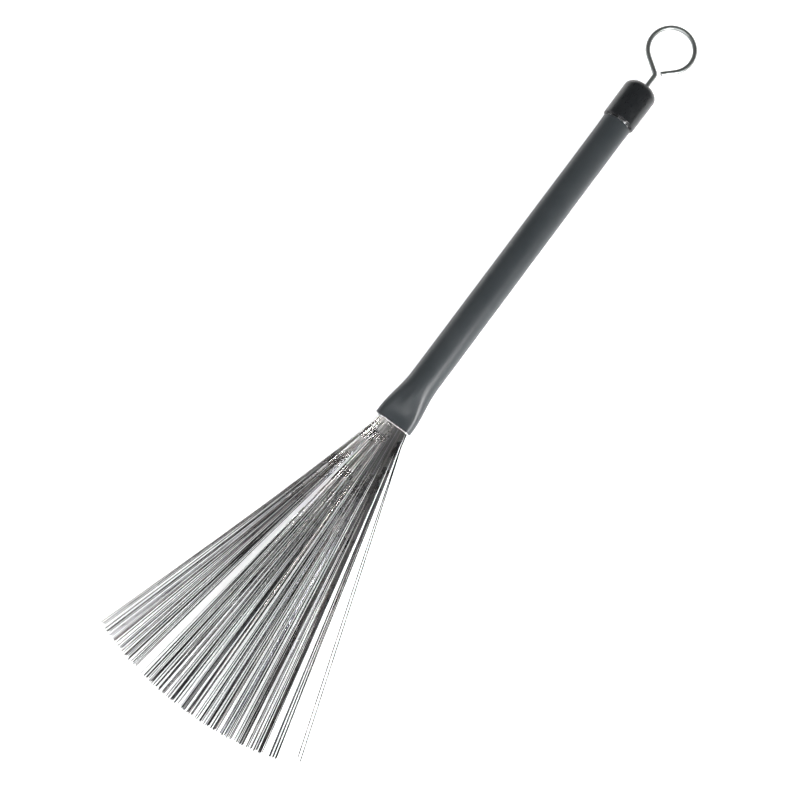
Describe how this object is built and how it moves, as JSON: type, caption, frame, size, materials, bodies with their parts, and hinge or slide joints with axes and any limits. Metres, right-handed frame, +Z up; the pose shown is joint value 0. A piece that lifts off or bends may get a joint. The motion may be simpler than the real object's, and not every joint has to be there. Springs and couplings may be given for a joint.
{
  "type": "retractable wire drum brush",
  "caption": "Retractable wire drum brush: rubber-sleeved tube handle with a pressed slot mouth, a flat fan of fine wires, a pull rod with ring and a domed end cap.",
  "frame": {"origin": "on the handle's axis at the middle of the rubber grip", "axes": "+X along the handle towards the wire tips, +Z up and square to the flat fan, +Y across the fan"},
  "size_m": [0.3499, 0.0974, 0.0148],
  "materials": {
    "tube_metal": "bare bright tube, fine draw lines",
    "grip_rubber": "matte blue-grey rubber, light dust",
    "cap_vinyl": "glossy near-black dipped vinyl",
    "guide_plastic": "natural nylon",
    "rod_steel": "bright nickel-plated wire",
    "holder_brass": "turned brass",
    "potting_resin": "cured dark resin",
    "wire_steel": "bright drawn steel music wire"
  },
  "bodies": {
    "handle": {"handle_tube": "tube_metal", "grip_sleeve": "grip_rubber", "end_cap": "cap_vinyl", "rod_guide": "guide_plastic"},
    "plunger": {"pull_rod": "rod_steel", "wire_holder": "holder_brass", "potting": "potting_resin"},
    "tuft_01": {"tuft_01": "wire_steel"},
    "tuft_02": {"tuft_02": "wire_steel"},
    "tuft_03": {"tuft_03": "wire_steel"},
    "tuft_04": {"tuft_04": "wire_steel"},
    "tuft_05": {"tuft_05": "wire_steel"},
    "tuft_06": {"tuft_06": "wire_steel"},
    "tuft_07": {"tuft_07": "wire_steel"},
    "tuft_08": {"tuft_08": "wire_steel"},
    "tuft_09": {"tuft_09": "wire_steel"},
    "tuft_10": {"tuft_10": "wire_steel"},
    "tuft_11": {"tuft_11": "wire_steel"},
    "tuft_12": {"tuft_12": "wire_steel"},
    "stray_wires": {"stray_wires": "wire_steel"}
  },
  "joints": [
    {"name": "wire_retract", "type": "slide", "parent": "handle", "child": "plunger", "axis": [-1, 0, 0], "range_m": [0, 0.135], "deforming": ["tuft_01", "tuft_02", "tuft_03", "tuft_04", "tuft_05", "tuft_06", "tuft_07", "tuft_08", "tuft_09", "tuft_10", "tuft_11", "tuft_12", "stray_wires"]},
    {"name": "tuft_01_close", "type": "hinge", "parent": "plunger", "child": "tuft_01", "pos_m": [0.05563, -0.00321, 0], "axis": [-0.0001, -0.0377, 0.9993], "range_deg": [0, 14.66]},
    {"name": "tuft_02_close", "type": "hinge", "parent": "plunger", "child": "tuft_02", "pos_m": [0.05563, -0.0026, 0], "axis": [-0.0001, -0.0458, 0.999], "range_deg": [0, 12.09]},
    {"name": "tuft_03_close", "type": "hinge", "parent": "plunger", "child": "tuft_03", "pos_m": [0.05563, -0.002, 0], "axis": [-0.0001, -0.0586, 0.9983], "range_deg": [0, 9.51]},
    {"name": "tuft_04_close", "type": "hinge", "parent": "plunger", "child": "tuft_04", "pos_m": [0.05563, -0.00139, 0], "axis": [-0.0001, -0.0932, 0.9956], "range_deg": [0, 6.15]},
    {"name": "tuft_05_close", "type": "hinge", "parent": "plunger", "child": "tuft_05", "pos_m": [0.05563, -0.00079, 0], "axis": [-0.0001, -0.1569, 0.9876], "range_deg": [0, 3.85]},
    {"name": "tuft_06_close", "type": "hinge", "parent": "plunger", "child": "tuft_06", "pos_m": [0.05563, -0.00018, 0], "axis": [0, -0.4674, 0.884], "range_deg": [0, 1.62]},
    {"name": "tuft_07_close", "type": "hinge", "parent": "plunger", "child": "tuft_07", "pos_m": [0.05563, 0.00042, 0], "axis": [0.0001, -0.3692, -0.9293], "range_deg": [0, 1.92]},
    {"name": "tuft_08_close", "type": "hinge", "parent": "plunger", "child": "tuft_08", "pos_m": [0.05563, 0.00103, 0], "axis": [0.0001, -0.143, -0.9897], "range_deg": [0, 4.18]},
    {"name": "tuft_09_close", "type": "hinge", "parent": "plunger", "child": "tuft_09", "pos_m": [0.05563, 0.00163, 0], "axis": [0.0001, -0.0881, -0.9961], "range_deg": [0, 6.48]},
    {"name": "tuft_10_close", "type": "hinge", "parent": "plunger", "child": "tuft_10", "pos_m": [0.05563, 0.00224, 0], "axis": [0.0001, -0.0637, -0.998], "range_deg": [0, 8.79]},
    {"name": "tuft_11_close", "type": "hinge", "parent": "plunger", "child": "tuft_11", "pos_m": [0.05563, 0.00284, 0], "axis": [0.0001, -0.0499, -0.9988], "range_deg": [0, 11.11]},
    {"name": "tuft_12_close", "type": "hinge", "parent": "plunger", "child": "tuft_12", "pos_m": [0.05563, 0.00345, 0], "axis": [0.0001, -0.0413, -0.9991], "range_deg": [0, 13.4]},
    {"name": "stray_wires_close", "type": "hinge", "parent": "plunger", "child": "stray_wires", "pos_m": [0.05563, 0.0039, 0.00003], "axis": [-0.0002, 0.0022, -1], "range_deg": [0, 17.03]}
  ],
  "couplings": [
    {"joint": "tuft_01_close", "follows": "wire_retract", "rad_per_m": 1.8313},
    {"joint": "tuft_02_close", "follows": "wire_retract", "rad_per_m": 1.4979},
    {"joint": "tuft_03_close", "follows": "wire_retract", "rad_per_m": 1.1655},
    {"joint": "tuft_04_close", "follows": "wire_retract", "rad_per_m": 0.73044},
    {"joint": "tuft_05_close", "follows": "wire_retract", "rad_per_m": 0.43309},
    {"joint": "tuft_06_close", "follows": "wire_retract", "rad_per_m": 0.14524},
    {"joint": "tuft_07_close", "follows": "wire_retract", "rad_per_m": 0.18388},
    {"joint": "tuft_08_close", "follows": "wire_retract", "rad_per_m": 0.47514},
    {"joint": "tuft_09_close", "follows": "wire_retract", "rad_per_m": 0.77286},
    {"joint": "tuft_10_close", "follows": "wire_retract", "rad_per_m": 1.072},
    {"joint": "tuft_11_close", "follows": "wire_retract", "rad_per_m": 1.372},
    {"joint": "tuft_12_close", "follows": "wire_retract", "rad_per_m": 1.6677},
    {"joint": "stray_wires_close", "follows": "wire_retract", "rad_per_m": 2.1375}
  ]
}
